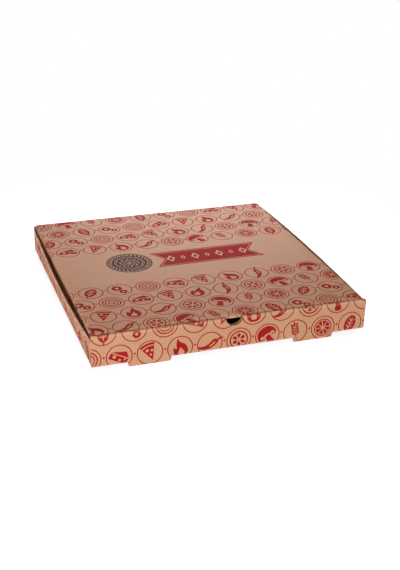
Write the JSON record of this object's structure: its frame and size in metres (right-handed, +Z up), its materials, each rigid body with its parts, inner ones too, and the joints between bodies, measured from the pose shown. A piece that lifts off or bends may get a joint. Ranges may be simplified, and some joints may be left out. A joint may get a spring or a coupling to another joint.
{
  "type": "pizza box",
  "caption": "Square shallow folding box of thin corrugated board, with a rolled front wall on feet, bowed side walls and a hinged tuck-in lid with a finger notch, for carrying a pizza.",
  "frame": {"origin": "bottom centre of the box, on the surface that its feet stand on", "axes": "+Z up through the lid, -Y out of the front wall with the finger notch, +X to the right as seen from the front"},
  "size_m": [0.3402, 0.34, 0.0426],
  "materials": {
    "kraft_tray": "matte",
    "kraft_lid": "matte"
  },
  "bodies": {
    "tray": {"tray": "kraft_tray"},
    "lid": {"lid": "kraft_lid"}
  },
  "joints": [
    {"name": "lid_hinge", "type": "hinge", "parent": "tray", "child": "lid", "pos_m": [0, 0.17, 0.0426], "axis": [-1, 0, 0], "range_deg": [0, 180]}
  ]
}
